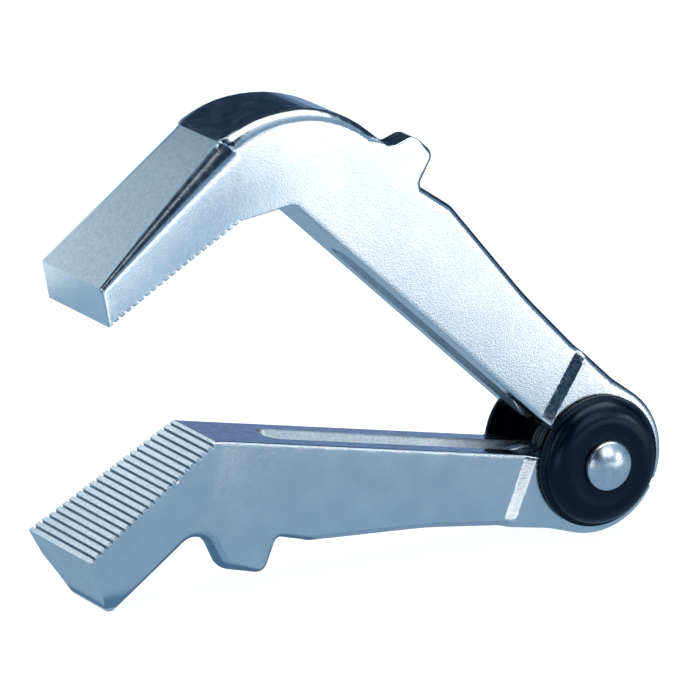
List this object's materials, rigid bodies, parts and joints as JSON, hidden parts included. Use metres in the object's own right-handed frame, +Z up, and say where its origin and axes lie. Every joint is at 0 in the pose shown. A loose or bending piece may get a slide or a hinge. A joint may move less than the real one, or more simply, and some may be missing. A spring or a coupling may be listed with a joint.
{
  "type": "sprung bevel vice clamp",
  "caption": "Sprung hinged holder whose bent, serrated jaws grip a workpiece at a bevel angle while its arms and lugs sit between a bench vice's jaws.",
  "frame": {"origin": "under the middle of the open clamp's box, on the table that its hub and lower jaw stand on", "axes": "+X from the jaws to the hinge, +Y along the hinge axis, +Z up"},
  "size_m": [0.1372, 0.0356, 0.0994],
  "materials": {
    "plated_steel": "satin plating over a forged skin, with a slight blue cast",
    "black_cap": "satin black moulding",
    "polished_rivet": "polished",
    "sleeve_steel": "plain",
    "spring_wire": "drawn wire"
  },
  "bodies": {
    "lower": {"lower_arm": "plated_steel", "front_cap": "black_cap", "rear_cap": "black_cap", "pivot_rivet": "polished_rivet", "spacer_sleeve": "sleeve_steel", "torsion_spring": "spring_wire"},
    "upper": {"upper_arm": "plated_steel"}
  },
  "joints": [
    {"name": "arm_hinge", "type": "hinge", "parent": "lower", "child": "upper", "pos_m": [0.05248, 0, 0.01634], "axis": [0, -1, 0], "range_deg": [0, 23.5], "stiffness_Nm_per_rad": 0.8, "springref_deg": -57.3, "deforming": ["torsion_spring"]}
  ]
}
